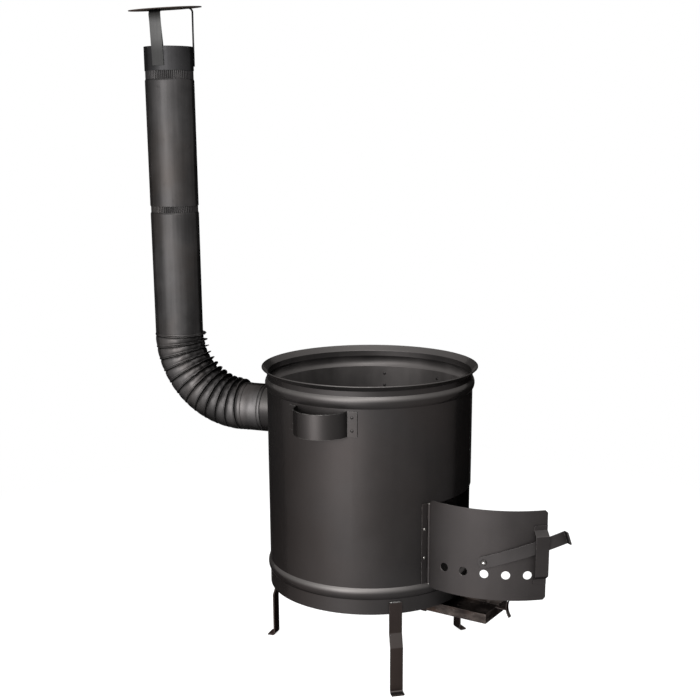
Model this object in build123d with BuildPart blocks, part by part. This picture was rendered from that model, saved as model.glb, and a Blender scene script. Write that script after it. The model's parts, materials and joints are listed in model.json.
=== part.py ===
# Cauldron stove: a sheet-steel drum with a flared mouth on three strip legs, with a curved side door,
# an ash tray under its floor, and a flue of one pleated elbow, two pipes and a rain cap.
# Lengths are millimetres. The origin is the centre of the drum's neck, the straight ring between the
# top bead and the flared rim, which the cauldron sits in.
# +Z is up and -Y is the door's side. Directions about the drum are degrees from the door's side, positive
# towards +X. The door stands open, the latch raised and the tray pulled out, as in use.
import os
from math import cos, pi, radians, sin, sqrt

from build123d import *

# Drum
drum_radius = 210
drum_sheet = 1.5
drum_height = 444
neck_rise = 5
rim_flare = 9
rim_rise = 10
rim_roll_radius = 1.6
bead_width = 24
bead_height = 4.2
top_bead_drop = 17.5
low_bead_rise = 43
floor_rise = 3
floor_sheet = 2

# Clearances, and one overrun for every cut
seat_gap = 0.3
running_gap = 0.05
overrun = 5

# Door, hinged at its left edge
door_half_angle = 31.8
door_edge_angle = 0.95
door_height = 180
door_rise = 48.5
door_sheet = 1.5
door_standoff = 0.5
door_overlap = 13
door_corner = 5
door_swing_angle = -81.4
opening_corner = 10
air_hole_radius = 8.5
air_hole_count = 5
air_hole_pitch_angle = 11
air_hole_rise = 51.5

# Hinge
hinge_rise = 7.2
hinge_height = 164
hinge_leaf_sheet = 2
hinge_leaf_width = 15
hinge_barrel_radius = 3.1
hinge_wrap = 0.4
hinge_pin_radius = 1.6
hinge_pin_head = 1.2
hinge_knuckles = 5
hinge_play = 0.4
hinge_rivet_inset = 8.5
hinge_rivet_pitch = 59

# Latch
latch_width = 24
latch_thickness = 3
latch_reach = 166
latch_bend_radius = 280
latch_tab_length = 20
latch_tab_angle = 62
latch_tilt_angle = 18.5
latch_drop_angle = 22.7
latch_rise = 76.3
latch_washer = 1.5
latch_washer_radius = 9
latch_rivet_radius = 4
latch_rivet_head_radius = 6
latch_rivet_head = 2.6
keeper_angle = 28.2
keeper_width = 26
keeper_height = 118
keeper_rise = 33.5
keeper_sheet = 2
keeper_gap = 12
keeper_foot = 11
keeper_joggle = 9
catch_angle = 37.5
catch_sheet = 3
catch_reach = 27
catch_height = 34
catch_notch = 9
catch_notch_depth = 17
catch_lip = 4.5

# Carrying handles
handle_angle = -92.3
handle_half_width = 56
handle_reach = 47
handle_sheet = 2
handle_height = 49
handle_drop = 34
handle_tab = 18
handle_rivet_pitch = 26

# Rivets
rivet_radius = 2
rivet_head_radius = 3.1
rivet_head = 1.6
rivet_edge = 0.7
rivet_slack = 0.1

# Legs
leg_angles = (-51.6, 51.8, 185.5)
leg_width = 26
leg_sheet = 3
leg_lap = 24
leg_joggle_drop = 40
leg_joggle_height = 29
leg_joggle = 8.5
leg_bend_radius = 6
leg_clearance = 164.8
foot_length = 14
weld_radius = 2.6
weld_inset = 1.5

# Flue
flue_angle = 184.8
flue_radius = 50.5
flue_sheet = 1
slip_gap = 0.3
flue_drop = 93
spigot_reach = 36
elbow_gap = 18
elbow_socket = 32
flue_offset = 436
bend_radius = 149
pleat_count = 12
pleat_fold = 10
pleat_crease = 0.7
pleat_sheet = 2.4
elbow_shoulder = 4
slip_length = 45
pipe_length = 252
crimp_step = 3
crimp_depth = 1.1
crimp_count = 72
crimp_length = 47
lower_crimp_show = 16
upper_crimp_show = 19.5

# Rain cap
collar_height = 47
collar_sheet = 0.8
cap_clearance = 73
cap_radius = 74
cap_offset = 5
cap_tilt_angle = 4.7
cap_high_angle = 73
cap_sheet = 1.6
cap_rise = 2.5
strap_angles = (-81.5, 38.5, 145.2)
strap_width = 25
strap_sheet = 1.2
strap_lap = 38
strap_foot = 22
strap_bend_radius = 7

# Ash tray, on its rails under the floor
tray_angle = -7
tray_width = 99.6
tray_length = 310
tray_height = 19.8
tray_sheet = 1.2
tray_drop = 4.1
tray_pull = 86.5
tray_front_gap = 2
rail_sheet = 1.5
rail_ledge = 8
rail_flange = 12
rail_back = 105
rail_front = 165
tray_side_gap = 0.6
tray_grip_width = 10
tray_grip_sheet = 1.8
tray_grip_reach = 22
tray_grip_rise = 16
tray_grip_drop = 17
tray_grip_flare = 7

# Grate over the ash opening
ash_opening_width = 84
ash_opening_length = 190
grate_width = 124
grate_length = 230
grate_sheet = 8
grate_corner = 10
grate_slot_length = 44
grate_slot_width = 8
grate_slot_pitch = 19
grate_slot_rows = 2
grate_slot_count = 9

# Heights and radii that follow from the sizes above
drum_bottom = -drum_height
drum_inner = drum_radius - drum_sheet
door_inner = drum_radius + bead_height + door_standoff
door_outer = door_inner + door_sheet
door_bottom = drum_bottom + door_rise
pin_angle = -door_half_angle - door_edge_angle
pin_radius = drum_radius + hinge_leaf_sheet - hinge_wrap + hinge_barrel_radius
pin_x = pin_radius * sin(radians(pin_angle))
pin_y = -pin_radius * cos(radians(pin_angle))
floor_bottom = drum_bottom + floor_rise
floor_top = floor_bottom + floor_sheet
tray_top = drum_bottom - tray_drop
tray_bottom = tray_top - tray_height
tray_front = drum_radius + tray_front_gap + tray_pull
flue_height = -flue_drop
flue_inner = flue_radius - flue_sheet
slip_radius = flue_inner - slip_gap
slip_inner = slip_radius - flue_sheet
bend_start = flue_offset - bend_radius
pipe_foot = flue_height + bend_radius + elbow_shoulder
crimp_inner = slip_radius - crimp_depth - flue_sheet
lower_top = pipe_foot + seat_gap + pipe_length
upper_foot = lower_top + lower_crimp_show
upper_top = upper_foot + pipe_length
collar_foot = upper_top + upper_crimp_show
collar_top = collar_foot + collar_height
collar_inner = slip_radius + slip_gap
collar_outer = collar_inner + collar_sheet
cap_foot = collar_top + cap_clearance

UP = Vector(0, 0, 1)


def outward(angle):
    # unit direction away from the drum's axis
    return Vector(sin(radians(angle)), -cos(radians(angle)), 0)


def along(angle):
    # unit direction around the drum, towards growing angles
    return Vector(cos(radians(angle)), sin(radians(angle)), 0)


def facing(angle, radius, height):
    # plane that faces outwards: its X runs around the drum and its Y is up
    return Plane(origin=outward(angle) * radius + UP * height, x_dir=along(angle), z_dir=outward(angle))


def upright(angle):
    # plane through the drum's axis: its X is the distance from the axis and its Y the height
    return Plane(origin=(0, 0, 0), x_dir=outward(angle), z_dir=along(angle) * -1)


def level(angle, height):
    # level plane turned so that its -Y points along the angle
    return Plane(origin=UP * height, x_dir=along(angle), z_dir=UP)


def swung(plane):
    # carries a plane of the closed door to where the open door has it
    pin = Location((pin_x, pin_y, 0))
    turn = Location((0, 0, 0), (0, 0, door_swing_angle))
    return Plane(pin * turn * pin.inverse() * plane.location)


def rivet_group(planes, depth):
    # rivets whose heads sit on the planes and whose tails close behind the sheets
    with BuildPart() as group:
        for plane in planes:
            with BuildSketch(plane):
                Circle(rivet_head_radius)
            extrude(amount=rivet_head)
            chamfer(group.faces().sort_by(Axis(plane.origin, plane.z_dir))[-1].edges(), length=rivet_edge)
            with BuildSketch(plane.offset(-depth - rivet_slack)):
                Circle(rivet_radius)
            extrude(amount=depth + rivet_slack)
            with BuildSketch(plane.offset(-depth - rivet_slack)):
                Circle(rivet_head_radius)
            extrude(amount=-rivet_head)
    return group


def bend_section(turn):
    # section plane across the elbow's bend: its Y points at the centre of the bend
    ahead = outward(flue_angle) * cos(radians(turn)) + UP * sin(radians(turn))
    inward = UP * cos(radians(turn)) - outward(flue_angle) * sin(radians(turn))
    centre = outward(flue_angle) * bend_start + UP * (flue_height + bend_radius)
    return Plane(origin=centre - inward * bend_radius, x_dir=inward.cross(ahead), z_dir=ahead)


# Where the rivets go: two in each handle tab and two in the hinge's drum leaf
handle_angles = (handle_angle, handle_angle + 180)
handle_middle = -handle_drop - handle_height / 2
tab_angle = (handle_half_width + handle_tab / 2) / drum_radius * 180 / pi
handle_rivet_planes = [
    facing(angle + side * tab_angle, drum_radius + handle_sheet, handle_middle + rise * handle_rivet_pitch / 2)
    for angle in handle_angles
    for side in (-1, 1)
    for rise in (-1, 1)
]
hinge_rivet_middle = door_bottom + door_height / 2
hinge_rivet_angle = pin_angle - hinge_rivet_inset / drum_radius * 180 / pi
hinge_rivet_planes = [
    facing(hinge_rivet_angle, drum_radius + hinge_leaf_sheet, hinge_rivet_middle + rise * hinge_rivet_pitch / 2)
    for rise in (-1, 1)
]

# Drum wall: straight sheet with two outward beads, a flared rim and a rolled edge
with BuildPart() as drum_shell:
    with BuildSketch(Plane.XZ):
        with BuildLine():
            low_bead = drum_bottom + low_bead_rise
            top_bead = -top_bead_drop
            half_bead = bead_width / 2
            Line((drum_radius, drum_bottom), (drum_radius, low_bead - half_bead))
            ThreePointArc(
                (drum_radius, low_bead - half_bead),
                (drum_radius + bead_height, low_bead),
                (drum_radius, low_bead + half_bead),
            )
            Line((drum_radius, low_bead + half_bead), (drum_radius, top_bead - half_bead))
            ThreePointArc(
                (drum_radius, top_bead - half_bead),
                (drum_radius + bead_height, top_bead),
                (drum_radius, top_bead + half_bead),
            )
            Line((drum_radius, top_bead + half_bead), (drum_radius, neck_rise))
            Line((drum_radius, neck_rise), (drum_radius + rim_flare, neck_rise + rim_rise))
            offset(amount=drum_sheet, side=Side.LEFT)
        make_face()
        with Locations((drum_radius + rim_flare, neck_rise + rim_rise)):
            Circle(rim_roll_radius)
    revolve(axis=Axis.Z)
    opening_half = drum_radius * sin(radians(door_half_angle)) - door_overlap
    with BuildSketch(Plane.XZ.offset(drum_radius / 2)):
        with Locations((0, door_bottom + door_height / 2)):
            RectangleRounded(2 * opening_half, door_height - 2 * door_overlap, opening_corner)
    extrude(amount=drum_radius, mode=Mode.SUBTRACT)
    with BuildSketch(facing(flue_angle, drum_radius / 2, flue_height)):
        Circle(slip_radius)
    extrude(amount=drum_radius, mode=Mode.SUBTRACT)
    for plane in handle_rivet_planes + hinge_rivet_planes:
        with BuildSketch(plane.offset(overrun)):
            Circle(rivet_radius)
        extrude(amount=-2 * overrun - drum_sheet, mode=Mode.SUBTRACT)

# Floor plate with the ash opening
with BuildPart() as drum_floor:
    with BuildSketch(level(tray_angle, floor_bottom)):
        Circle(drum_inner)
        Rectangle(ash_opening_width, ash_opening_length, mode=Mode.SUBTRACT)
    extrude(amount=floor_sheet)

# Cast grate that lies over the ash opening
with BuildPart() as fire_grate:
    with BuildSketch(level(tray_angle, floor_top)):
        RectangleRounded(grate_width, grate_length, grate_corner)
        row_pitch = grate_slot_length + grate_slot_width
        with GridLocations(row_pitch, grate_slot_pitch, grate_slot_rows, grate_slot_count):
            SlotOverall(grate_slot_length, grate_slot_width, mode=Mode.SUBTRACT)
    extrude(amount=grate_sheet)

# Stub that carries the elbow, trimmed to the drum's inside
with BuildPart() as flue_spigot:
    with BuildSketch(facing(flue_angle, drum_radius / 2, flue_height)):
        Circle(slip_radius)
        Circle(slip_inner, mode=Mode.SUBTRACT)
    extrude(amount=drum_radius / 2 + spigot_reach)
    with BuildSketch(Plane.XY.offset(flue_height - drum_radius)):
        Circle(drum_inner)
    extrude(amount=2 * drum_radius, mode=Mode.SUBTRACT)

# Pleated elbow: tail over the stub, a bend of folded pleats, and a narrowed end inside the lower pipe
with BuildPart() as flue_elbow:
    tail_start = drum_radius + elbow_gap
    bend_centre = outward(flue_angle) * bend_start + UP * (flue_height + bend_radius)
    bend_axis = Axis(bend_centre, along(flue_angle) * -1)
    with BuildSketch(facing(flue_angle, tail_start, flue_height)):
        Circle(flue_radius)
    extrude(amount=bend_start - tail_start)
    with BuildSketch(bend_section(0)):
        Circle(flue_radius)
    revolve(axis=bend_axis, revolution_arc=90)
    with BuildSketch(bend_section(90)):
        Circle(flue_radius)
    extrude(amount=elbow_shoulder)
    with BuildSketch(bend_section(90)):
        Circle(slip_radius)
    extrude(amount=elbow_shoulder + slip_length)
    # Each pleat is a fold that is flat outside the bend and stands deep inside it
    pleat_radius = flue_radius + (pleat_fold + pleat_crease) / 2
    for index in range(pleat_count):
        with BuildSketch(bend_section(90 * index / (pleat_count - 1))):
            with Locations((0, (pleat_fold - pleat_crease) / 2)):
                Circle(pleat_radius)
        extrude(amount=pleat_sheet / 2, both=True)
    with BuildSketch(facing(flue_angle, tail_start - overrun, flue_height)):
        Circle(flue_inner)
    extrude(amount=elbow_socket + overrun, mode=Mode.SUBTRACT)
    with BuildSketch(facing(flue_angle, tail_start, flue_height)):
        Circle(slip_inner)
    extrude(amount=bend_start - tail_start, mode=Mode.SUBTRACT)
    with BuildSketch(bend_section(0)):
        Circle(slip_inner)
    revolve(axis=bend_axis, revolution_arc=90, mode=Mode.SUBTRACT)
    with BuildSketch(bend_section(90)):
        Circle(slip_inner)
    extrude(amount=elbow_shoulder + slip_length + overrun, mode=Mode.SUBTRACT)


def stove_pipe(foot):
    # plain pipe that necks in to a crimped end, which slips into the next piece
    centre = outward(flue_angle) * flue_offset
    top = foot + pipe_length
    with BuildPart() as pipe:
        with BuildSketch(Plane(origin=centre, x_dir=(1, 0, 0), z_dir=(0, -1, 0))):
            with BuildLine():
                Polyline(
                    (flue_inner, foot),
                    (flue_radius, foot),
                    (flue_radius, top),
                    (slip_radius, top + crimp_step),
                    (crimp_inner, top + crimp_step),
                    (flue_inner, top - crimp_step),
                    close=True,
                )
            make_face()
        revolve(axis=Axis(centre, UP))
        with BuildSketch(Plane(origin=centre + UP * top)):
            flute_points = []
            for index in range(2 * crimp_count):
                radius = slip_radius - crimp_depth * (index % 2)
                turn = index * pi / crimp_count
                flute_points.append((radius * cos(turn), radius * sin(turn)))
            with BuildLine():
                Polyline(*flute_points, close=True)
            make_face()
            Circle(crimp_inner, mode=Mode.SUBTRACT)
        extrude(amount=crimp_length)
    return pipe


lower_flue_pipe = stove_pipe(pipe_foot + seat_gap)
upper_flue_pipe = stove_pipe(upper_foot)

# Rain cap: collar, three straps and a shallow disc, which sits a little tilted and off centre
flue_centre = outward(flue_angle) * flue_offset
tilt = radians(cap_tilt_angle)
cap_plane = Plane(
    origin=flue_centre - outward(cap_high_angle) * cap_offset + UP * cap_foot,
    x_dir=outward(cap_high_angle) * cos(tilt) + UP * sin(tilt),
    z_dir=UP * cos(tilt) - outward(cap_high_angle) * sin(tilt),
)

with BuildPart() as cap_collar:
    with BuildSketch(Plane(origin=flue_centre + UP * collar_foot)):
        Circle(collar_outer)
        Circle(collar_inner, mode=Mode.SUBTRACT)
    extrude(amount=collar_height)


def cap_strap(angle):
    # flat strap on the outside of the collar, turned in under the disc and leaning as the disc tilts
    normal = cap_plane.z_dir
    side = along(angle) - UP * (along(angle).dot(normal) / UP.dot(normal))
    foot = flue_centre + UP * (collar_top - strap_lap)
    frame = Plane(origin=foot, x_dir=outward(angle), z_dir=side * -1)
    slope = -frame.x_dir.dot(normal) / frame.y_dir.dot(normal)
    thickness = strap_sheet * sqrt(1 + slope**2)
    under = (cap_plane.origin - foot).dot(normal) / frame.y_dir.dot(normal) - thickness
    toe = collar_outer - strap_foot
    with BuildPart() as strap:
        with BuildSketch(frame):
            with BuildLine():
                FilletPolyline(
                    (collar_outer, 0),
                    (collar_outer, under + slope * collar_outer),
                    (toe, under + slope * toe),
                    radius=strap_bend_radius,
                )
                offset(amount=strap_sheet, side=Side.RIGHT)
            make_face()
        extrude(amount=strap_width / 2, both=True)
    return strap


cap_strap_front, cap_strap_side, cap_strap_back = [cap_strap(angle) for angle in strap_angles]

with BuildPart() as rain_cap:
    with BuildSketch(Plane(origin=cap_plane.origin, x_dir=cap_plane.x_dir, z_dir=cap_plane.y_dir * -1)):
        with BuildLine():
            Polyline((0, 0), (cap_radius, 0), (cap_radius, cap_sheet), (0, cap_sheet + cap_rise), close=True)
        make_face()
    revolve(axis=Axis(cap_plane.origin, cap_plane.z_dir))


def carrying_handle(angle):
    # bent strap: a round bow out from the drum between two tabs that lie on its wall
    chord = sqrt(drum_radius**2 - handle_half_width**2)
    rise = drum_radius + handle_reach - chord
    bow = (handle_half_width**2 + rise**2) / (2 * rise)
    with BuildPart() as handle:
        with BuildSketch(level(angle, -handle_drop - handle_height)):
            with Locations((0, bow - drum_radius - handle_reach)):
                Circle(bow)
                Circle(bow - handle_sheet, mode=Mode.SUBTRACT)
            Circle(drum_radius, mode=Mode.SUBTRACT)
        extrude(amount=handle_height)
        with BuildSketch(level(angle, -handle_drop - handle_height)):
            Circle(drum_radius + handle_sheet)
            Circle(drum_radius, mode=Mode.SUBTRACT)
            with Locations((0, -drum_radius)):
                Rectangle(2 * (handle_half_width + handle_tab), drum_radius, mode=Mode.INTERSECT)
                Rectangle(2 * (handle_half_width - handle_sheet), drum_radius, mode=Mode.SUBTRACT)
        extrude(amount=handle_height)
        for plane in handle_rivet_planes:
            with BuildSketch(plane.offset(overrun)):
                Circle(rivet_radius)
            extrude(amount=-2 * overrun, mode=Mode.SUBTRACT)
    return handle


handle_left, handle_right = [carrying_handle(angle) for angle in handle_angles]
handle_rivets = rivet_group(handle_rivet_planes, handle_sheet + drum_sheet)


def strip_leg(angle):
    # flat strip on the drum's wall, joggled outwards below it, with a turned-out foot
    low_radius = drum_radius + leg_joggle
    joggle_top = drum_bottom - leg_joggle_drop
    floor_level = drum_bottom - leg_clearance
    with BuildPart() as leg:
        with BuildSketch(upright(angle)):
            with BuildLine():
                FilletPolyline(
                    (drum_radius, drum_bottom + leg_lap),
                    (drum_radius, joggle_top),
                    (low_radius, joggle_top - leg_joggle_height),
                    (low_radius, floor_level),
                    (low_radius + leg_sheet + foot_length, floor_level),
                    radius=leg_bend_radius,
                )
                offset(amount=leg_sheet, side=Side.LEFT)
            make_face()
        extrude(amount=leg_width / 2, both=True)
        with BuildSketch(Plane.XY.offset(drum_bottom - overrun)):
            Circle(drum_radius)
        extrude(amount=leg_lap + 2 * overrun, mode=Mode.SUBTRACT)
    return leg


leg_front_left, leg_front_right, leg_rear = [strip_leg(angle) for angle in leg_angles]

# Weld bead along each leg's top edge
with BuildPart() as leg_welds:
    for angle in leg_angles:
        with BuildSketch(upright(angle)):
            with Locations((drum_radius, drum_bottom + leg_lap)):
                Circle(weld_radius)
        extrude(amount=leg_width / 2 - weld_inset, both=True)
    with BuildSketch(Plane.XY.offset(drum_bottom)):
        Circle(drum_radius)
    extrude(amount=drum_height, mode=Mode.SUBTRACT)
    for angle in leg_angles:
        with BuildSketch(facing(angle, drum_radius - overrun, drum_bottom)):
            Rectangle(2 * leg_width, 2 * leg_lap)
        extrude(amount=2 * overrun + leg_sheet, mode=Mode.SUBTRACT)

# Hinge leaves: knuckles 1, 3 and 5 belong to the drum, 2 and 4 to the door
hinge_bottom = door_bottom + hinge_rise
knuckle_length = hinge_height / hinge_knuckles
leaf_angle = hinge_leaf_width / drum_radius * 180 / pi


def hinge_leaf(inner, side, first, place, rivet_planes):
    # curved leaf with rolled knuckles; the other leaf's knuckles run in its notches
    with BuildPart() as leaf:
        with BuildSketch(place(Plane.XY.offset(hinge_bottom))):
            Circle(inner + hinge_leaf_sheet)
            Circle(inner, mode=Mode.SUBTRACT)
            reach = 2 * drum_radius
            edge = outward(pin_angle) * reach
            end = outward(pin_angle + side * leaf_angle) * reach
            Polygon((0, 0), (edge.X, edge.Y), (end.X, end.Y), align=None, mode=Mode.INTERSECT)
        extrude(amount=hinge_height)
        for index in range(hinge_knuckles):
            with BuildSketch(place(Plane.XY.offset(hinge_bottom + index * knuckle_length))):
                with Locations((pin_x, pin_y)):
                    Circle(hinge_barrel_radius + (0 if index % 2 == first else seat_gap))
            extrude(amount=knuckle_length, mode=Mode.ADD if index % 2 == first else Mode.SUBTRACT)
        for index in range(1, hinge_knuckles):
            with BuildSketch(place(Plane.XY.offset(hinge_bottom + index * knuckle_length))):
                with Locations((pin_x, pin_y)):
                    Circle(hinge_barrel_radius + seat_gap)
            extrude(amount=hinge_play / 2, both=True, mode=Mode.SUBTRACT)
        with BuildSketch(place(Plane.XY.offset(hinge_bottom - overrun))):
            with Locations((pin_x, pin_y)):
                Circle(hinge_pin_radius + running_gap)
        extrude(amount=hinge_height + 2 * overrun, mode=Mode.SUBTRACT)
        for plane in rivet_planes:
            with BuildSketch(plane.offset(overrun)):
                Circle(rivet_radius)
            extrude(amount=-2 * overrun, mode=Mode.SUBTRACT)
    return leaf


hinge_drum_leaf = hinge_leaf(drum_radius, -1, 0, lambda plane: plane, hinge_rivet_planes)
hinge_door_leaf = hinge_leaf(door_inner - seat_gap - hinge_leaf_sheet, 1, 1, swung, [])
hinge_rivets = rivet_group(hinge_rivet_planes, hinge_leaf_sheet + drum_sheet)

with BuildPart() as hinge_pin:
    with BuildSketch(Plane(origin=(pin_x, pin_y, hinge_bottom - hinge_pin_head))):
        Circle(hinge_pin_radius)
    extrude(amount=hinge_height + 2 * hinge_pin_head)
    for height in (hinge_bottom - hinge_pin_head, hinge_bottom + hinge_height):
        with BuildSketch(Plane(origin=(pin_x, pin_y, height))):
            Circle(hinge_barrel_radius)
        extrude(amount=hinge_pin_head)

# Where the latch turns on the door
latch_height = door_bottom + latch_rise
pivot_face = facing(0, door_outer, latch_height)

# Door plate: a strip of a cylinder with clipped corners and a row of air holes
with BuildPart() as door_panel:
    with BuildSketch(swung(Plane.XY.offset(door_bottom))):
        Circle(door_outer)
        Circle(door_inner, mode=Mode.SUBTRACT)
        left = outward(-door_half_angle) * 2 * drum_radius
        right = outward(door_half_angle) * 2 * drum_radius
        Polygon((0, 0), (left.X, left.Y), (right.X, right.Y), align=None, mode=Mode.INTERSECT)
    extrude(amount=door_height)
    corners = door_panel.edges().filter_by(lambda edge: abs(edge.length - door_sheet) < running_gap)
    chamfer(corners, length=door_corner)
    for index in range(air_hole_count):
        angle = (index - (air_hole_count - 1) / 2) * air_hole_pitch_angle
        with BuildSketch(swung(facing(angle, door_inner - overrun, door_bottom + air_hole_rise))):
            Circle(air_hole_radius)
        extrude(amount=2 * overrun + door_sheet, mode=Mode.SUBTRACT)
    with BuildSketch(swung(pivot_face).offset(-overrun)):
        Circle(latch_rivet_radius)
    extrude(amount=2 * overrun, mode=Mode.SUBTRACT)

# Keeper: strap with joggled ends that holds the latch bar near the door's free edge
with BuildPart() as latch_keeper:
    keeper_bottom = door_bottom + keeper_rise
    keeper_top = keeper_bottom + keeper_height
    with BuildSketch(swung(upright(keeper_angle))):
        with BuildLine():
            Polyline(
                (door_outer, keeper_bottom),
                (door_outer, keeper_bottom + keeper_foot),
                (door_outer + keeper_gap, keeper_bottom + keeper_foot + keeper_joggle),
                (door_outer + keeper_gap, keeper_top - keeper_foot - keeper_joggle),
                (door_outer, keeper_top - keeper_foot),
                (door_outer, keeper_top),
            )
            offset(amount=keeper_sheet, side=Side.RIGHT)
        make_face()
    extrude(amount=keeper_width / 2, both=True)

# Latch bar: curved a little less than the door, so that it clears the plate as it swings
latch_turn = Location((0, 0, 0), (0, 0, latch_tilt_angle))
latch_face = Plane(swung(pivot_face).offset(latch_washer).location * latch_turn)
with BuildPart() as latch_bar:
    with BuildSketch(Plane(origin=latch_face.origin, x_dir=latch_face.x_dir, z_dir=latch_face.y_dir * -1)):
        with BuildLine():
            sweep_angle = latch_reach / latch_bend_radius * 180 / pi
            start_angle = latch_width / 2 / latch_bend_radius * 180 / pi
            bar = CenterArc(
                (0, -latch_bend_radius),
                latch_bend_radius,
                90 + start_angle,
                -start_angle - sweep_angle,
            )
            PolarLine(bar @ 1, latch_tab_length, latch_tab_angle)
            offset(amount=latch_thickness, side=Side.LEFT)
        make_face()
    extrude(amount=latch_width / 2, both=True)
    with BuildSketch(latch_face.offset(-latch_reach / 2)):
        Circle(latch_width / 2)
        with Locations((latch_reach, 0)):
            Rectangle(2 * latch_reach, latch_width)
    extrude(amount=latch_reach, mode=Mode.INTERSECT)
    with BuildSketch(latch_face.offset(-overrun)):
        Circle(latch_rivet_radius + running_gap)
    extrude(amount=2 * overrun + latch_thickness, mode=Mode.SUBTRACT)

# Pivot rivet with a shoulder that holds the bar off the plate
with BuildPart() as latch_pivot:
    stack = latch_washer + latch_thickness + seat_gap
    tail = door_sheet + rivet_slack + rivet_head
    with BuildSketch(swung(pivot_face).offset(-tail)):
        Circle(latch_rivet_radius)
    extrude(amount=tail + stack)
    with BuildSketch(swung(pivot_face).offset(-tail)):
        Circle(latch_rivet_head_radius)
    extrude(amount=rivet_head)
    with BuildSketch(swung(pivot_face)):
        Circle(latch_washer_radius)
    extrude(amount=latch_washer - seat_gap)
    with BuildSketch(swung(pivot_face).offset(stack)):
        Circle(latch_rivet_head_radius)
    extrude(amount=latch_rivet_head)
    top_edge = latch_pivot.faces().sort_by(Axis(swung(pivot_face).origin, swung(pivot_face).z_dir))[-1].edges()
    chamfer(top_edge, length=latch_rivet_head / 2)

# Catch: upright hook on the drum, beyond the door's free edge, that the lowered bar drops into
with BuildPart() as latch_catch:
    closed_tilt = latch_tilt_angle - latch_drop_angle
    catch_side = (drum_radius + catch_reach / 2) * sin(radians(catch_angle))
    bar_low_edge = catch_side * sin(radians(closed_tilt)) / cos(radians(closed_tilt))
    bar_low_edge = latch_height + bar_low_edge - latch_width / 2 / cos(radians(closed_tilt))
    notch_floor = bar_low_edge - seat_gap
    catch_bottom = notch_floor + catch_notch_depth - catch_height
    notch_start = drum_radius + catch_reach - catch_lip - catch_notch
    with BuildSketch(upright(catch_angle)):
        with BuildLine():
            Polyline(
                (drum_radius, catch_bottom),
                (drum_radius + catch_reach / 2, catch_bottom),
                (drum_radius + catch_reach, notch_floor),
                (drum_radius + catch_reach, notch_floor + catch_notch_depth),
                (drum_radius + catch_reach - catch_lip, notch_floor + catch_notch_depth),
                (drum_radius + catch_reach - catch_lip, notch_floor),
                (notch_start, notch_floor),
                (notch_start, notch_floor + catch_notch_depth),
                (drum_radius, notch_floor + catch_notch_depth),
                close=True,
            )
        make_face()
    extrude(amount=catch_sheet / 2, both=True)
    with BuildSketch(Plane.XY.offset(catch_bottom - overrun)):
        Circle(drum_radius)
    extrude(amount=catch_height + 2 * overrun, mode=Mode.SUBTRACT)

# Ash tray, pulled part way out
with BuildPart() as ash_tray:
    with BuildSketch(level(tray_angle, tray_bottom)):
        with Locations((0, tray_length / 2 - tray_front)):
            Rectangle(tray_width, tray_length)
    extrude(amount=tray_height)
    with BuildSketch(level(tray_angle, tray_bottom + tray_sheet)):
        with Locations((0, tray_length / 2 - tray_front)):
            Rectangle(tray_width - 2 * tray_sheet, tray_length - 2 * tray_sheet)
    extrude(amount=tray_height, mode=Mode.SUBTRACT)

# Tray handle: a short stem with a curved finger strip across its end
with BuildPart() as tray_handle:
    grip = tray_front + tray_grip_reach
    with BuildSketch(upright(tray_angle)):
        with BuildLine():
            Polyline(
                (tray_front, tray_top - tray_grip_sheet),
                (grip + tray_grip_sheet / 2, tray_top - tray_grip_sheet),
                (grip + tray_grip_sheet / 2, tray_top),
                (tray_front, tray_top),
                close=True,
            )
        make_face()
        with BuildLine():
            finger = ThreePointArc(
                (grip + tray_grip_flare / 4, tray_top + tray_grip_rise),
                (grip, tray_top),
                (grip + tray_grip_flare, tray_top - tray_grip_drop),
            )
            offset(amount=tray_grip_sheet, side=Side.LEFT)
        make_face()
    extrude(amount=tray_grip_width / 2, both=True)


def tray_rail(side):
    # folded rail: a flange under the floor, a web beside the tray and a ledge below it
    web = tray_width / 2 + tray_side_gap
    ledge_top = tray_bottom - seat_gap
    with BuildPart() as rail:
        with BuildSketch(level(tray_angle, ledge_top - rail_sheet)):
            with Locations((side * (web + rail_sheet / 2), (rail_back - rail_front) / 2)):
                Rectangle(rail_sheet, rail_back + rail_front)
        extrude(amount=floor_bottom - ledge_top + rail_sheet)
        with BuildSketch(level(tray_angle, ledge_top - rail_sheet)):
            with Locations((side * (web - rail_ledge / 2 + rail_sheet / 2), (rail_back - rail_front) / 2)):
                Rectangle(rail_ledge + rail_sheet, rail_back + rail_front)
        extrude(amount=rail_sheet)
        with BuildSketch(level(tray_angle, floor_bottom - rail_sheet)):
            with Locations((side * (web + rail_flange / 2), (rail_back - rail_front) / 2)):
                Rectangle(rail_flange, rail_back + rail_front)
        extrude(amount=rail_sheet)
    return rail


tray_rail_left, tray_rail_right = [tray_rail(side) for side in (-1, 1)]

# Write every piece to its own file
pieces = {
    "drum_shell": drum_shell,
    "drum_floor": drum_floor,
    "fire_grate": fire_grate,
    "flue_spigot": flue_spigot,
    "flue_elbow": flue_elbow,
    "lower_flue_pipe": lower_flue_pipe,
    "upper_flue_pipe": upper_flue_pipe,
    "cap_collar": cap_collar,
    "cap_strap_front": cap_strap_front,
    "cap_strap_side": cap_strap_side,
    "cap_strap_back": cap_strap_back,
    "rain_cap": rain_cap,
    "handle_left": handle_left,
    "handle_right": handle_right,
    "handle_rivets": handle_rivets,
    "leg_front_left": leg_front_left,
    "leg_front_right": leg_front_right,
    "leg_rear": leg_rear,
    "leg_welds": leg_welds,
    "hinge_drum_leaf": hinge_drum_leaf,
    "hinge_rivets": hinge_rivets,
    "hinge_pin": hinge_pin,
    "hinge_door_leaf": hinge_door_leaf,
    "door_panel": door_panel,
    "latch_keeper": latch_keeper,
    "latch_pivot": latch_pivot,
    "latch_bar": latch_bar,
    "latch_catch": latch_catch,
    "ash_tray": ash_tray,
    "tray_handle": tray_handle,
    "tray_rail_left": tray_rail_left,
    "tray_rail_right": tray_rail_right,
}
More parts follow.
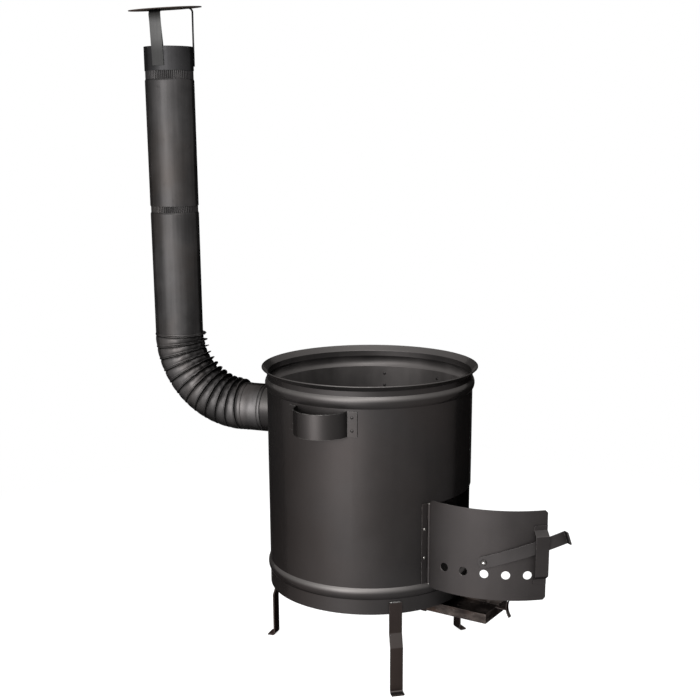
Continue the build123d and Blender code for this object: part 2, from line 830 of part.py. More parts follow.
os.makedirs("parts", exist_ok=True)
for label, piece in pieces.items():
    piece.part.label = label
    export_step(piece.part, f"parts/{label}.step")
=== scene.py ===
# Cauldron stove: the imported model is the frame, and the pieces below dress it.
# Everything is in metres. The drum's axis is Z, its door faces -Y and its flue leads off towards +Y.
import json
from math import cos, pi, radians, sin

import bmesh
import bpy
from mathutils import Matrix, Vector, noise


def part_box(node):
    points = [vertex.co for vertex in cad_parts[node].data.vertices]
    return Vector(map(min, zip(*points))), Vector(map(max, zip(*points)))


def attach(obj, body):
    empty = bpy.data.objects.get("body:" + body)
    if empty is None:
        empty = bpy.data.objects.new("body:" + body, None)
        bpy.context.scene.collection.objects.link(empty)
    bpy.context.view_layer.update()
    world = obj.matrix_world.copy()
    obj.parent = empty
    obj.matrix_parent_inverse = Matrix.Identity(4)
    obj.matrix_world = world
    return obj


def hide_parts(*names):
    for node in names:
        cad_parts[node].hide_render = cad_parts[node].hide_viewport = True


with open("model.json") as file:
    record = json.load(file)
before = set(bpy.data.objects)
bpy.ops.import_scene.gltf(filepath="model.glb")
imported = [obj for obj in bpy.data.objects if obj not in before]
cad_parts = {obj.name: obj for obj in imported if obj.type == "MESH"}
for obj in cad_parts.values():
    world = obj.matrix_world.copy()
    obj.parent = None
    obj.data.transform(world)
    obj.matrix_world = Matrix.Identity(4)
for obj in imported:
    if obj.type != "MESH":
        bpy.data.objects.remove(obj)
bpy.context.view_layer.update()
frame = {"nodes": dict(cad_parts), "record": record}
nodes = frame["nodes"]

# Sizes of the solids that the dressed pieces sit on
MM = 0.001
DRUM_RADIUS = 210 * MM
DRUM_BOTTOM = -444 * MM
FLOOR = -608.8 * MM
FLUE_ANGLE = 184.8
FLUE_HEIGHT = -93 * MM
FLUE_RADIUS = 50.5 * MM
SLIP_RADIUS = 49.2 * MM
FLUE_OFFSET = 436 * MM
BEND_RADIUS = 149 * MM
TAIL_START = 228 * MM
PLEATS = 12
LEG_ANGLES = (-51.6, 51.8, 185.5)
LEG_WIDTH = 26 * MM
LEG_LAP = 24 * MM
HANDLE_ANGLES = (-92.3, 87.7)
HANDLE_TAB_ANGLE = 17.73
HANDLE_MIDDLE = -58.5 * MM
HANDLE_RIVET_PITCH = 26 * MM
HINGE_RIVET_ANGLE = -35.07
HINGE_RIVET_MIDDLE = -305.5 * MM
HINGE_RIVET_PITCH = 59 * MM
TAB_SHEET = 2 * MM
CAP_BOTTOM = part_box("rain_cap")[0][2]
COLLAR_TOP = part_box("cap_collar")[1][2]

UP = Vector((0, 0, 1))


def outward(angle):
    """Unit direction away from the drum's axis, in degrees from the door's side."""
    return Vector((sin(radians(angle)), -cos(radians(angle)), 0))


def along(angle):
    """Unit direction around the drum, towards growing angles."""
    return Vector((cos(radians(angle)), sin(radians(angle)), 0))


def placed(origin, across, rise, ahead):
    """Matrix that stands a shape drawn in XY on the given directions, with its Z ahead."""
    turn = Matrix((across, rise, ahead)).transposed().to_4x4()
    return Matrix.Translation(origin) @ turn


def facing(angle, radius, height):
    """Matrix that faces outwards from the drum's axis."""
    return placed(outward(angle) * radius + UP * height, along(angle), UP, outward(angle))


FLUE_WAY = outward(FLUE_ANGLE)
BEND_CENTRE = FLUE_WAY * (FLUE_OFFSET - BEND_RADIUS) + UP * (FLUE_HEIGHT + BEND_RADIUS)


# Materials
class Value:
    """A number that varies over a surface. Its sums and products add Math nodes."""

    def __init__(self, shading, socket):
        self.shading = shading
        self.socket = socket

    def _math(self, operation, first, second):
        return self.shading.add("ShaderNodeMath", {"operation": operation}, {0: first, 1: second})[0]

    def __add__(self, other):
        return self._math("ADD", self, other)

    def __sub__(self, other):
        return self._math("SUBTRACT", self, other)

    def __mul__(self, other):
        return self._math("MULTIPLY", self, other)

    def __rsub__(self, other):
        return self._math("SUBTRACT", other, self)

    __radd__ = __add__
    __rmul__ = __mul__

    def larger(self, other):
        """The larger of the two values."""
        return self._math("MAXIMUM", self, other)


class Shading:
    """The nodes of a material or of the world."""

    def __init__(self, tree):
        self.tree = tree
        self.tree.nodes.clear()

    def add(self, kind, settings=None, values=None):
        """Adds a node, sets its settings, then its sockets, and gives its outputs."""
        node = self.tree.nodes.new(kind)
        for key, setting in (settings or {}).items():
            setattr(node, key, setting)
        for key, value in (values or {}).items():
            self.put(node.inputs[key], value)
        return [Value(self, socket) for socket in node.outputs]

    def put(self, socket, value):
        """Links a varying value to a socket, or sets the socket to a plain one."""
        if isinstance(value, Value):
            self.tree.links.new(value.socket, socket)
        elif socket.type == "RGBA" and len(value) == 3:
            socket.default_value = (*value, 1)
        else:
            socket.default_value = value

    def named(self, kind):
        """Adds a node and gives its outputs by their names."""
        return {output.socket.name: output for output in self.add(kind)}

    def white_surroundings(self):
        """1 for camera, glossy and transmission rays, which see plain white around the stove."""
        rays = self.named("ShaderNodeLightPath")
        return rays["Is Camera Ray"].larger(rays["Is Glossy Ray"]).larger(rays["Is Transmission Ray"])


class Finish(Shading):
    """One procedural material on a Principled surface."""

    SOCKETS = {
        "colour": "Base Color", "roughness": "Roughness", "metallic": "Metallic", "normal": "Normal",
        "gloss": "Specular IOR Level", "rim": "Specular Tint",
    }

    def __init__(self, name):
        self.material = bpy.data.materials.new(name)
        self.material.use_nodes = True
        super().__init__(self.material.node_tree)
        self.output = self.tree.nodes.new("ShaderNodeOutputMaterial")
        self.surface = self.tree.nodes.new("ShaderNodeBsdfPrincipled")
        self.tree.links.new(self.surface.outputs[0], self.output.inputs[0])
        self.place = self.named("ShaderNodeTexCoord")["Object"]

    def set(self, **sockets):
        """Gives the surface its colour, roughness and so on, and gives back the material."""
        for name, value in sockets.items():
            self.put(self.surface.inputs[self.SOCKETS[name]], value)
        return self.material

    def noise(self, scale, detail=3, roughness=0.55, stretch=(1, 1, 1)):
        """Cloudy values from 0 to 1, with spots about 1 / scale metres wide."""
        where = self.place
        if stretch != (1, 1, 1):
            where = self.add("ShaderNodeMapping", values={"Vector": where, "Scale": stretch})[0]
        values = {"Vector": where, "Scale": scale, "Detail": detail, "Roughness": roughness}
        return self.add("ShaderNodeTexNoise", values=values)[0]

    def band(self, value, low, high):
        """Spreads the values from low to high over 0 to 1, with soft ends."""
        settings = {"interpolation_type": "SMOOTHSTEP"}
        values = {"Value": value, "From Min": low, "From Max": high}
        return self.add("ShaderNodeMapRange", settings, values)[0]

    def mix(self, factor, first, second):
        """Colour that goes from the first at 0 to the second at 1."""
        settings = {"data_type": "RGBA"}
        return self.add("ShaderNodeMix", settings, {0: factor, 6: first, 7: second})[2]

    def vector(self, operation, first, second=None):
        """A sum, product or the like of two directions, or a number that measures them."""
        values = {0: first}
        if second is not None:
            values[1] = second
        outputs = self.add("ShaderNodeVectorMath", {"operation": operation}, values)
        return outputs[1 if operation in ("DOT_PRODUCT", "LENGTH") else 0]

    def bump(self, height, distance, normal=None):
        """Normals of a skin that rises by the height times the distance."""
        values = {"Height": height, "Distance": distance}
        if normal:
            values["Normal"] = normal
        return self.add("ShaderNodeBump", values=values)[0]

    def height(self):
        """Height above the drum's neck, in metres."""
        return self.add("ShaderNodeSeparateXYZ", values={0: self.place})[2]

    def face(self):
        """Direction that the surface faces."""
        return self.named("ShaderNodeNewGeometry")["Normal"]

    def edges(self, radius):
        """Rounded normals at sheet edges, and a mask that is 1 on the edges."""
        rounded = self.add("ShaderNodeBevel", {"samples": 8}, {"Radius": radius})[0]
        match = self.vector("DOT_PRODUCT", rounded, self.face())
        return rounded, self.band(1 - match, 0.02, 0.25)

    def turned_up(self, low=0.02, high=0.45):
        """1 on the faces that look up, where dust and a painted highlight go, and 0 on the ones that look
        down, where painted shade goes.
        """
        return self.band(self.add("ShaderNodeSeparateXYZ", values={0: self.face()})[2], low, high)

    def turned_in(self, middle):
        """1 on the faces that look at the upright axis through a point, and the distance from that axis."""
        spoke = self.vector("MULTIPLY", self.vector("SUBTRACT", self.place, middle), (1, 1, 0))
        facing_out = self.vector("DOT_PRODUCT", self.vector("NORMALIZE", spoke), self.face())
        return 1 - self.band(facing_out, -0.6, -0.2), self.vector("LENGTH", spoke)

    def soot_and_shade(self):
        """Soot with painted shade: most inside the flue's pieces, soot there and painted shade on the straps'
        inner faces; close under the rain cap, soot and the cap's painted shadow; least in the crimped flutes,
        painted shade there.
        """
        inside_soot_and_shade, radius = self.turned_in(FLUE_WAY * FLUE_OFFSET)
        flute_shade = (1 - self.band(radius, SLIP_RADIUS - 0.9 * MM, SLIP_RADIUS - 0.35 * MM)) * 0.6
        crimp_shade = (1 - self.band(radius, SLIP_RADIUS + 0.2 * MM, SLIP_RADIUS + 0.8 * MM)) * 0.18
        cap_shadow_and_soot = self.band(self.height(), CAP_BOTTOM - 26 * MM, CAP_BOTTOM - 4 * MM) * 0.9
        return inside_soot_and_shade.larger(flute_shade + crimp_shade).larger(cap_shadow_and_soot)


def shaded(colour, amount):
    """The colour, made darker or lighter by the amount."""
    return tuple(part * amount for part in colour)


# Matte black reflects little at a glancing angle
DARK_RIM = (0.1, 0.1, 0.1)

RUBBED_PAINT = (0.16, 0.15, 0.145)
SETTLED_DUST_AND_HIGHLIGHT = (0.1, 0.094, 0.091)
DRUM_ASH_AND_LIGHT = (0.078, 0.072, 0.07)
FLUE_SOOT_AND_SHADE = (0.004, 0.0038, 0.0036)
DARK_SCALE, LIGHT_SCALE = (0.013, 0.0105, 0.0098), (0.038, 0.0315, 0.0285)
TRAY_SPOTS, TRAY_RUST, TRAY_EDGE = (0.1, 0.085, 0.078), (0.05, 0.029, 0.02), (0.2, 0.175, 0.16)
RUBBED_STEEL_GLINT = (0.75, 0.74, 0.72)
DARK_SAND, LIGHT_SAND = (0.02, 0.019, 0.018), (0.06, 0.056, 0.052)
GRATE_ASH, GRATE_EDGE = (0.13, 0.125, 0.12), (0.12, 0.11, 0.1)


def heat_paint(name, shade, warm, metal=0.95, rough=0.52, spread=0.35, worn_and_highlight=RUBBED_PAINT,
               ash_and_inner_light=False, wear_and_highlight=0.55, dust_and_highlight=0.3):
    """Satin black heat-resistant paint: clouded tone, sprayed grain, scuffs, dust that is also a painted
    highlight on faces that look up, and rubbed edges that are also a painted highlight on the handle.
    """
    finish = Finish(name)
    cloud = finish.noise(4, 4)
    streak = finish.noise(9, 4, stretch=(1, 1, 0.25))
    grain = finish.noise(1400, 2)
    rounded, edge = finish.edges(0.9 * MM)
    scuff = finish.band(finish.noise(160, 5, 0.7), 0.66, 0.74) * finish.band(finish.noise(14, 3), 0.5, 0.66)
    rub_and_highlight = edge * finish.band(finish.noise(90, 4), 0.35, 0.6)
    clouded = finish.band(cloud * 0.6 + streak * 0.4, 0.35, 0.65)
    tone = finish.mix(clouded, shaded(shade, 1 - spread / 2), shaded(shade, 1 + spread / 2))
    tone = finish.mix(finish.band(finish.noise(2.5, 3), 0.45, 0.7) * 0.6, tone, warm)
    tone = finish.mix(scuff * 0.4, tone, shaded(shade, 2.6))
    tone = finish.mix(finish.band(grain, 0.55, 0.8) * 0.2, tone, shaded(shade, 1.8))
    # Dust on faces that look up, lighter than dust alone: a painted highlight on bead tops, rims and top
    # edges
    tone = finish.mix(finish.turned_up() * dust_and_highlight, tone, SETTLED_DUST_AND_HIGHLIGHT)
    # Rubbed paint on the edges; on the handle it is also a painted highlight along its edges
    tone = finish.mix(rub_and_highlight * wear_and_highlight, tone, worn_and_highlight)
    roughness = rough + cloud * 0.1 - scuff * 0.1
    if ash_and_inner_light:
        # Ash on the drum's inner wall, which thins out towards the mouth; it is lighter than ash alone, as
        # painted light on the inner wall
        ash = finish.turned_in((0, 0, 0))[0] * finish.band(cloud * 0.5 + streak * 0.5, 0.2, 0.7)
        ash = ash * (1 - finish.band(finish.height(), -30 * MM, 4 * MM) * 0.75)
        tone = finish.mix(ash, tone, DRUM_ASH_AND_LIGHT)
        metal = metal - ash * 0.7
    skin = grain * 0.5 + finish.noise(260, 3) * 0.5
    waves = finish.bump(finish.noise(11, 1, stretch=(1, 1, 0.4)), 1.2 * MM, rounded)
    normal = finish.bump(skin, 0.12 * MM, waves)
    return finish.set(colour=tone, roughness=roughness, metallic=metal, gloss=0, rim=DARK_RIM, normal=normal)


def blued_sheet(name, shade, warm, spread=0.5, metal=0.95, rough=0.5, creased=False, flue=False, low=None):
    """Dark blued stove-pipe steel: satin sheen, drawn lines and small stains.

    A creased sheet gets painted shade in its creases and underneath, a flue sheet gets soot with
    painted shade and shadow, and with low given, the steel is darker up to that height.
    """
    finish = Finish(name)
    drawn = finish.noise(60, 4, stretch=(1, 1, 0.06))
    cloud = finish.noise(13, 4)
    stain = finish.band(finish.noise(34, 5, 0.65), 0.58, 0.75)
    rounded, edge = finish.edges(0.7 * MM)
    clouded = finish.band(drawn * 0.5 + cloud * 0.5, 0.36, 0.64)
    tone = finish.mix(clouded, shaded(shade, 1 - spread / 2), shaded(shade, 1 + spread / 2))
    tone = finish.mix(finish.band(finish.noise(7, 3), 0.45, 0.7) * 0.5, tone, warm)
    tone = finish.mix(stain * 0.3, tone, shaded(shade, 0.45))
    tone = finish.mix(edge * 0.5, tone, shaded(shade, 2.4))
    if creased:
        # Painted shade in the creases, read from the elbow's crease layer, and painted shade on faces that
        # look down
        crease_shade = finish.add("ShaderNodeAttribute", {"attribute_name": "crease_shade"})[2]
        tone = finish.mix(crease_shade * 0.9, tone, shaded(shade, 0.08))
        tone = finish.mix((1 - finish.turned_up(-0.75, 0)) * 0.75, tone, shaded(shade, 0.25))
    if flue:
        # Soot inside the flue, painted shade on inner faces and in the crimp, and the rain cap's painted
        # shadow
        tone = finish.mix(finish.soot_and_shade() * 0.92, tone, FLUE_SOOT_AND_SHADE)
    if low:
        lower = 1 - finish.band(finish.height(), low - 15 * MM, low + 25 * MM)
        tone = finish.mix(lower * 0.75, tone, shaded(shade, 0.35))
    fine = finish.noise(900, 2)
    flats = finish.bump(finish.noise(26, 1, stretch=(1, 1, 0.05)), 1.2 * MM, rounded)
    normal = finish.bump(fine * 0.5 + drawn * 0.5, 0.12 * MM, flats)
    roughness = rough + cloud * 0.16 + stain * 0.12
    return finish.set(colour=tone, roughness=roughness, metallic=metal, gloss=0, rim=DARK_RIM, normal=normal)


def worn_tray_sheet(name):
    """Thin tray sheet: streaked brown scale with bare spots, rust and worn edges."""
    finish = Finish(name)
    streak = finish.noise(26, 5, 0.6, stretch=(1, 1, 2.5))
    patch = finish.noise(60, 5, 0.65)
    rust = finish.band(finish.noise(18, 4), 0.5, 0.72)
    rounded, edge = finish.edges(0.8 * MM)
    tone = finish.mix(finish.band(streak, 0.35, 0.65), DARK_SCALE, LIGHT_SCALE)
    tone = finish.mix(finish.band(patch, 0.55, 0.7) * 0.5, tone, TRAY_SPOTS)
    tone = finish.mix(rust * 0.4, tone, TRAY_RUST)
    tone = finish.mix(edge * 0.4, tone, TRAY_EDGE)
    normal = finish.bump(patch * 0.6 + streak * 0.4, 0.3 * MM, rounded)
    roughness = 0.5 + patch * 0.2
    return finish.set(colour=tone, roughness=roughness, metallic=0.3, gloss=0, rim=DARK_RIM, normal=normal)


def bright_steel(name, light, dark, rough=0.4, axle=None):
    """Bare steel of rivet heads and weld beads, a little heat-tinted, with a painted glint of rubbed bright
    steel around an axle.
    """
    finish = Finish(name)
    patch = finish.noise(420, 4)
    tone = finish.mix(finish.band(patch, 0.35, 0.7), light, dark)
    if axle:
        arm = finish.vector("SUBTRACT", finish.place, axle["pos_m"])
        away = finish.vector("LENGTH", finish.vector("CROSS_PRODUCT", arm, axle["axis"]))
        outside_glint = finish.band(away + patch * (1.2 * MM), 1.6 * MM, 2.6 * MM)
        tone = finish.mix(outside_glint, RUBBED_STEEL_GLINT, tone)
    normal = finish.bump(finish.noise(900, 3), 0.1 * MM)
    return finish.set(colour=tone, roughness=rough + patch * 0.3, metallic=1, normal=normal)


def raw_casting(name):
    """Cast iron with its sandy skin and a dusting of ash."""
    finish = Finish(name)
    sand = finish.noise(520, 5, 0.65)
    ash = finish.band(finish.noise(22, 4), 0.5, 0.75)
    rounded, edge = finish.edges(1.2 * MM)
    tone = finish.mix(sand, DARK_SAND, LIGHT_SAND)
    tone = finish.mix(ash * 0.35, tone, GRATE_ASH)
    tone = finish.mix(edge * 0.4, tone, GRATE_EDGE)
    normal = finish.bump(sand, 0.6 * MM, rounded)
    return finish.set(colour=tone, roughness=0.72 + sand * 0.15, normal=normal)


# The drum's dust is also a painted highlight on its beads and rim, and its ash a painted light on the inner
# wall
drum_paint = heat_paint(
    "drum_paint", (0.024, 0.0223, 0.0221), (0.026, 0.0217, 0.0204), rough=0.5, ash_and_inner_light=True, dust_and_highlight=0.7
)
# The handle's rubbed edges are wear and also a painted highlight on its top and bottom edges
handle_paint = heat_paint(
    "handle_paint", (0.0245, 0.0228, 0.0225), (0.0265, 0.0222, 0.0208), rough=0.45,
    worn_and_highlight=(0.3, 0.29, 0.28), wear_and_highlight=0.9, dust_and_highlight=0.6,
)
door_paint = heat_paint("door_paint", (0.028, 0.0253, 0.0249), (0.0305, 0.0244, 0.0224))
bar_paint = heat_paint("bar_paint", (0.024, 0.019, 0.0177), (0.031, 0.0222, 0.0187), rough=0.48, spread=0.6)
latch_paint = heat_paint(
    "latch_paint", (0.0285, 0.0262, 0.026), (0.031, 0.0262, 0.0243), rough=0.5, dust_and_highlight=0.1
)
rivet_paint = heat_paint("rivet_paint", (0.02, 0.019, 0.019), (0.026, 0.022, 0.02))
pipe_steel = blued_sheet("pipe_steel", (0.0325, 0.031, 0.0309), (0.036, 0.031, 0.0283), flue=True)
elbow_steel = blued_sheet(
    "elbow_steel", (0.05, 0.0474, 0.047), (0.0566, 0.048, 0.0432), spread=0.6, rough=0.46, creased=True
)
collar_steel = blued_sheet("collar_steel", (0.022, 0.0215, 0.022), (0.0245, 0.0213, 0.0195), flue=True)
strap_steel = blued_sheet(
    "strap_steel", (0.04, 0.0395, 0.039), (0.039, 0.0365, 0.034), rough=0.45, flue=True, low=COLLAR_TOP
)
cap_steel = blued_sheet("cap_steel", (0.035, 0.028, 0.025), (0.045, 0.03, 0.023), metal=0.1)
tray_steel = worn_tray_sheet("tray_steel")
rivet_steel = bright_steel("rivet_steel", (0.2, 0.193, 0.185), (0.09, 0.08, 0.07), rough=0.28)
joints = {joint["name"]: joint for joint in frame["record"]["behaviour"]["joints"]}
# The latch pivot's head has a small bright centre: a painted glint on rubbed steel
pivot_steel = bright_steel(
    "pivot_steel", (0.05, 0.047, 0.045), (0.02, 0.018, 0.017), axle=joints["latch_pivot"]
)
weld_steel = bright_steel("weld_steel", (0.13, 0.127, 0.124), (0.03, 0.028, 0.027))
grate_iron = raw_casting("grate_iron")

finishes = {
    drum_paint: ["drum_shell", "drum_floor"],
    handle_paint: ["flue_spigot", "handle_left", "handle_right"],
    door_paint: ["door_panel", "hinge_drum_leaf", "hinge_door_leaf", "latch_keeper"],
    latch_paint: ["latch_bar"],
    bar_paint: [
        "leg_front_left", "leg_front_right", "leg_rear", "latch_catch", "tray_handle", "tray_rail_left",
        "tray_rail_right",
    ],
    pipe_steel: ["flue_elbow", "lower_flue_pipe", "upper_flue_pipe"],
    collar_steel: ["cap_collar"],
    strap_steel: ["cap_strap_front", "cap_strap_side", "cap_strap_back"],
    cap_steel: ["rain_cap"],
    tray_steel: ["ash_tray"],
    rivet_paint: ["handle_rivets"],
    rivet_steel: ["hinge_rivets", "hinge_pin"],
    pivot_steel: ["latch_pivot"],
    weld_steel: ["leg_welds"],
    grate_iron: ["fire_grate"],
}
for material, names in finishes.items():
    for name in names:
        for slot in nodes[name].material_slots:
            slot.material = material


# Mesh work
def linked(name, shape, material):
    """Puts the shape into the scene under this name."""
    mesh = bpy.data.meshes.new(name)
    shape.to_mesh(mesh)
    shape.free()
    mesh.materials.append(material)
    thing = bpy.data.objects.new(name, mesh)
    bpy.context.scene.collection.objects.link(thing)
    return thing


def finished(name, shape, body, material, node):
    """Makes a smooth-shaded piece of the shape, which rides on a body and stands for a node."""
    bmesh.ops.recalc_face_normals(shape, faces=shape.faces)
    for face in shape.faces:
        face.smooth = True
    piece = linked(name, shape, material)
    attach(piece, body)
    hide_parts(node)
    return piece


def sweep(shape, stations, segments, capped):
    """Extrudes a circle of radius 1 from each station's matrix to the next."""
    ring = bmesh.ops.create_circle(
        shape, segments=segments, radius=1, cap_ends=capped, matrix=stations[0]
    )
    verts = ring["verts"]
    edges = [edge for edge in shape.edges if edge.verts[0] in verts and edge.verts[1] in verts]
    for before, after in zip(stations, stations[1:]):
        grown = bmesh.ops.extrude_edge_only(shape, edges=edges)["geom"]
        verts = [item for item in grown if isinstance(item, bmesh.types.BMVert)]
        edges = [item for item in grown if isinstance(item, bmesh.types.BMEdge)]
        edges = [edge for edge in edges if edge.verts[0] in verts and edge.verts[1] in verts]
        bmesh.ops.transform(shape, matrix=after @ before.inverted(), verts=verts)
    if capped:
        bmesh.ops.contextual_create(shape, geom=edges)


# Pleated elbow: each pleat is a thin fold that lies flat outside the bend and stands up inside it.
# The rows below are in millimetres, and their last number is how much painted shade darkens the crease, from
# 0 to 1.
ELBOW_RING = 120
ELBOW_WALL = 0.8 * MM
FOLD_HEIGHT = 9.2
FOLD_UNEVEN = 0.5
BUCKLES_PER_METRE = 95
BUCKLE_DEPTH = 1.6 * MM
PRESSED_START = 8 * MM
PRESSED_WIDTH = 50 * MM
PLEAT_PITCH = pi / 2 / (PLEATS - 1)
TAIL = FLUE_OFFSET - BEND_RADIUS - TAIL_START
NECK = (SLIP_RADIUS - FLUE_RADIUS) / MM


def bend_frame(turn, ahead_by=0.0):
    """Section frame of the elbow: its Y points at the centre of the bend."""
    ahead = FLUE_WAY * cos(turn) + UP * sin(turn)
    inward = UP * cos(turn) - FLUE_WAY * sin(turn)
    middle = BEND_CENTRE - inward * BEND_RADIUS + ahead * ahead_by
    return placed(middle, inward.cross(ahead), inward, ahead)


def ring_at(section, inner, outer):
    """A round section that stands proud by these amounts at the inside and outside of the bend."""
    size = FLUE_RADIUS + (inner + outer) / 2 * MM
    shift = Matrix.Translation((0, (inner - outer) / 2 * MM, 0))
    return section @ shift @ Matrix.Diagonal((size, size, 1, 1))


# Tail: how far along it, how proud, painted crease shade. Two low ridges stand just before the first pleat.
tail_rows = [(0, 0, 0), (7, 0, 0), (7.6, -0.4, 0.7), (8.6, -0.4, 0.7), (9.2, 0, 0), (30, 0, 0)]
for ridge in (TAIL / MM - 17, TAIL / MM - 9):
    for step, proud, crease_shade in ((0, 0, 0), (1.2, 0.4, 0), (2.4, 0.4, 0), (3.2, -0.2, 0.5), (4.4, 0, 0)):
        tail_rows.append((ridge + step, proud, crease_shade))
rings = [
    (ring_at(bend_frame(0, reach * MM - TAIL), proud, proud), crease_shade) for reach, proud, crease_shade in tail_rows
]

# Pleats: share of the pitch, how proud inside the bend, how proud outside it, painted crease shade
for pleat in range(PLEATS):
    grown = 0.75 + 0.25 * sin(pi * (pleat + 1) / (PLEATS + 1))
    fold = (FOLD_HEIGHT + FOLD_UNEVEN * sin(pleat * 2.1)) * grown
    pleat_rows = [
        (-0.16, -1.0, 0.1, 0), (-0.11, -1.4, -1.1, 1), (-0.065, fold * 0.5, -1.3, 1),
        (-0.035, fold, 0.3, 0), (0.03, fold, 0.6, 0), (0.055, fold * 0.5, 0.5, 0), (0.12, -1.4, 0.2, 0),
    ]
    if pleat < PLEATS - 1:
        pleat_rows += [(0.22, 0.1, 0.5, 0), (0.4, 0.9, 0.8, 0), (0.6, 1.1, 0.8, 0), (0.78, 0.3, 0.5, 0)]
    for share, inner, outer, crease_shade in pleat_rows:
        rings.append((ring_at(bend_frame((pleat + share) * PLEAT_PITCH), inner, outer), crease_shade))

# Neck that the lower pipe slips over: how far up, how proud
for reach, proud in ((3.2, 0), (4, -0.2), (4.4, NECK), (48.6, NECK)):
    rings.append((ring_at(bend_frame(pi / 2, reach * MM), proud, proud), 0))

elbow = bmesh.new()
sweep(elbow, [ring for ring, crease_shade in rings], ELBOW_RING, False)
creased = elbow.verts.layers.float.new("crease_shade")
elbow.verts.ensure_lookup_table()
for index, vert in enumerate(elbow.verts):
    vert[creased] = rings[index // ELBOW_RING][1]
elbow.normal_update()
for vert in elbow.verts:
    # Small buckles, and painted shade with grime in the pressed folds, where the inside of the bend is
    # pressed together
    arm = vert.co - BEND_CENTRE
    from_centre = Vector((arm.dot(FLUE_WAY), arm.z)).length
    pressed = min(max((BEND_RADIUS + PRESSED_START - from_centre) / PRESSED_WIDTH, 0), 1)
    in_bend = arm.dot(FLUE_WAY) > 0 and arm.z < 0
    if in_bend and pressed > 0:
        dent = noise.noise(vert.co * BUCKLES_PER_METRE)
        vert[creased] = max(vert[creased], pressed * (0.55 - 0.6 * dent))
        vert.co += vert.normal * dent * BUCKLE_DEPTH * pressed
pleated_elbow = finished("pleated_elbow", elbow, "stove", elbow_steel, "flue_elbow")
wall = pleated_elbow.modifiers.new("wall", "SOLIDIFY")
wall.thickness = ELBOW_WALL
wall.offset = -1

# Rivets: half outline of the dome, the shank through the sheets and the flattened tail, in millimetres
RIVET_DEPTH = 3.6
RIVET_STEPS = 20
RIVET_OUTLINE = [
    (0, 1.6), (1.1, 1.5), (2.1, 1.1), (2.8, 0.5), (3.1, 0.0), (2.0, 0.0), (2.0, -RIVET_DEPTH),
    (3.1, -RIVET_DEPTH), (2.9, -RIVET_DEPTH - 0.9), (1.8, -RIVET_DEPTH - 1.5), (0, -RIVET_DEPTH - 1.6),
]


def domed_heads(name, planes, material, node):
    """Rivets with domed heads on the planes and flattened tails behind the sheets."""
    shape = bmesh.new()
    for plane in planes:
        chain = [shape.verts.new((radius * MM, 0, rise * MM)) for radius, rise in RIVET_OUTLINE]
        line = [shape.edges.new(pair) for pair in zip(chain, chain[1:])]
        bmesh.ops.spin(
            shape, geom=chain + line, axis=(0, 0, 1), cent=(0, 0, 0), angle=2 * pi, steps=RIVET_STEPS,
            use_merge=True,
        )
        fresh = [vert for vert in shape.verts if not vert.tag]
        bmesh.ops.transform(shape, matrix=plane, verts=fresh)
        for vert in fresh:
            vert.tag = True
    bmesh.ops.remove_doubles(shape, verts=shape.verts, dist=0.01 * MM)
    finished(name, shape, "stove", material, node)


handle_planes = [
    facing(
        angle + side * HANDLE_TAB_ANGLE, DRUM_RADIUS + TAB_SHEET,
        HANDLE_MIDDLE + rise * HANDLE_RIVET_PITCH / 2,
    )
    for angle in HANDLE_ANGLES for side in (-1, 1) for rise in (-1, 1)
]
hinge_planes = [
    facing(HINGE_RIVET_ANGLE, DRUM_RADIUS + TAB_SHEET, HINGE_RIVET_MIDDLE + rise * HINGE_RIVET_PITCH / 2)
    for rise in (-1, 1)
]
domed_heads("handle_rivet_heads", handle_planes, rivet_paint, "handle_rivets")
domed_heads("hinge_rivet_heads", hinge_planes, rivet_steel, "hinge_rivets")

# Weld beads along the legs' top edges, with their ripples and tapered ends
WELD_SIDES = 14
WELD_STEPS = 34
WELD_HALF_WAVES = 13
WELD_TALLER = 1.15
WELD_RADIUS = 1.75 * MM
WELD_RIPPLE = 0.3 * MM
WELD_UNEVEN = 0.25 * MM
WELD_END = 1.2 * MM
WELD_OUT = 0.9 * MM
WELD_RISE = 0.4 * MM
welds = bmesh.new()
for leg, angle in enumerate(LEG_ANGLES):
    start = outward(angle) * (DRUM_RADIUS + WELD_OUT) + UP * (DRUM_BOTTOM + LEG_LAP + WELD_RISE)
    beads = []
    for step in range(WELD_STEPS + 1):
        share = step / WELD_STEPS
        side = (share - 0.5) * (LEG_WIDTH - 2 * WELD_END)
        drop = side**2 / (2 * DRUM_RADIUS)
        wave = WELD_RIPPLE * sin(share * pi * WELD_HALF_WAVES + leg)
        uneven = WELD_UNEVEN * noise.noise(Vector((share * 5, leg, 0)))
        taper = min(1, 0.35 + 6 * min(share, 1 - share))
        swell = (WELD_RADIUS + wave + uneven) * taper
        middle = start + along(angle) * side - outward(angle) * drop
        section = placed(middle, UP, outward(angle), along(angle))
        beads.append(section @ Matrix.Diagonal((swell * WELD_TALLER, swell, 1, 1)))
    sweep(welds, beads, WELD_SIDES, True)
finished("leg_weld_beads", welds, "stove", weld_steel, "leg_welds")

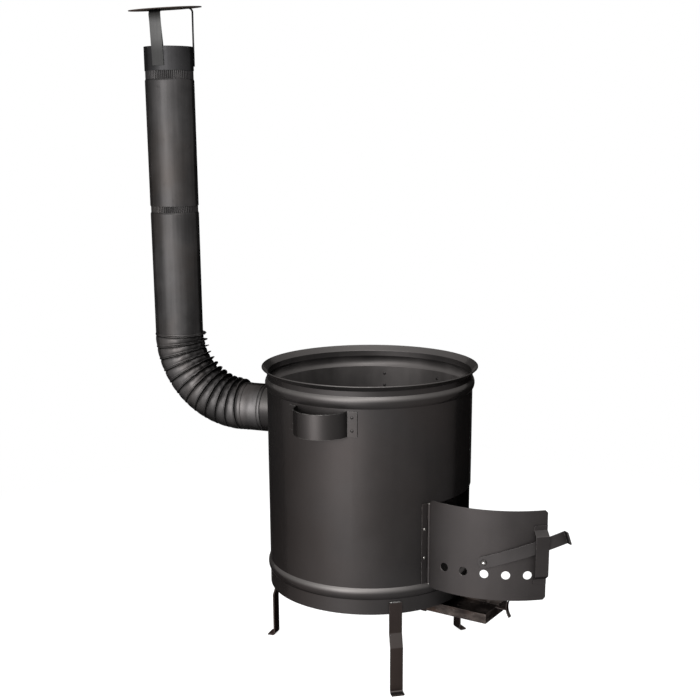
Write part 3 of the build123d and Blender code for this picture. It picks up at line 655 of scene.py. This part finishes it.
# Floor: white to the camera, with the stove's shadow near the stove and plain white further out
WHITE = (1, 1, 1)
FLOOR_GREY = (0.55, 0.55, 0.55)
SHADOW_GREY = (0.36, 0.36, 0.36)
FLOOR_GLOW = 0.87
FLOOR_SIZE = 12
SHADOW_END, WHITE_START = 1.0, 1.7
floor_finish = Finish("pale_floor")
floor_finish.set(colour=FLOOR_GREY, roughness=0.9)
glow = floor_finish.add("ShaderNodeEmission", values={"Color": WHITE, "Strength": FLOOR_GLOW})[0]
lit = floor_finish.add("ShaderNodeBsdfDiffuse", values={"Color": SHADOW_GREY})[0]
near = floor_finish.add("ShaderNodeAddShader", values={0: glow, 1: lit})[0]
distant = floor_finish.add("ShaderNodeEmission", values={"Color": WHITE, "Strength": 1})[0]
far = floor_finish.band(floor_finish.vector("LENGTH", floor_finish.place), SHADOW_END, WHITE_START)
seen = floor_finish.add("ShaderNodeMixShader", values={0: far, 1: near, 2: distant})[0]
plain = Value(floor_finish, floor_finish.surface.outputs[0])
either = {0: floor_finish.white_surroundings(), 1: plain, 2: seen}
floor_finish.put(floor_finish.output.inputs[0], floor_finish.add("ShaderNodeMixShader", values=either)[0])

floor_shape = bmesh.new()
bmesh.ops.create_grid(floor_shape, x_segments=1, y_segments=1, size=FLOOR_SIZE)
bmesh.ops.translate(floor_shape, verts=floor_shape.verts, vec=(0, 0, FLOOR))
floor = linked("floor", floor_shape, floor_finish.material)

# World: a weak soft light, seen as plain white
SOFT_LIGHT = 0.12
world = bpy.data.worlds.new("studio")
bpy.context.scene.world = world
world.use_nodes = True
sky = Shading(world.node_tree)
soft = sky.add("ShaderNodeBackground", values={"Color": WHITE, "Strength": SOFT_LIGHT})[0]
clear = sky.add("ShaderNodeBackground", values={"Color": WHITE, "Strength": 1})[0]
both = sky.add("ShaderNodeMixShader", values={0: sky.white_surroundings(), 1: soft, 2: clear})[0]
sky.add("ShaderNodeOutputWorld", values={"Surface": both})


def softbox(name, spot, target, width, height, power):
    """A rectangular area lamp aimed at a point."""
    data = bpy.data.lights.new(name, "AREA")
    data.shape = "RECTANGLE"
    data.size = width
    data.size_y = height
    data.energy = power
    lamp = bpy.data.objects.new(name, data)
    bpy.context.scene.collection.objects.link(lamp)
    lamp.location = spot
    lamp.rotation_mode = "QUATERNION"
    lamp.rotation_quaternion = (Vector(target) - Vector(spot)).to_track_quat("-Z", "Y")


softbox("key_light", (-2.9, 0.17, 0.25), (0, 0.1, -0.1), 0.9, 1.4, 175)
softbox("top_light", (-1.75, -0.95, 1.7), (0, 0, -0.15), 0.8, 0.7, 68)
softbox("fill_light", (2.7, 1.35, 1.0), (0, 0.1, -0.1), 1.2, 1.4, 70)

# The camera stands where the photograph was taken from, with the picture's own rise of the lens
PICTURE = 700
FOCAL_PIXELS = 1194.14
LENS_ROW = 420
SENSOR_MM = 36
CAMERA_SPOT = (-2.1788, -0.9961, 0.4908)
HEADING, PITCH_DOWN, ROLL = 0.4458, 0.2423, -0.005
camera_data = bpy.data.cameras.new("camera")
camera = bpy.data.objects.new("camera", camera_data)
bpy.context.scene.collection.objects.link(camera)
bpy.context.scene.camera = camera
camera_data.sensor_width = SENSOR_MM
camera_data.lens = FOCAL_PIXELS / PICTURE * SENSOR_MM
camera_data.shift_y = (LENS_ROW - PICTURE / 2) / PICTURE
camera.location = CAMERA_SPOT
sight = Vector((cos(HEADING) * cos(PITCH_DOWN), sin(HEADING) * cos(PITCH_DOWN), -sin(PITCH_DOWN)))
camera.rotation_mode = "QUATERNION"
camera.rotation_quaternion = Matrix.Rotation(-ROLL, 3, sight).to_quaternion() @ sight.to_track_quat("-Z", "Y")
bpy.context.scene.view_settings.view_transform = "Standard"
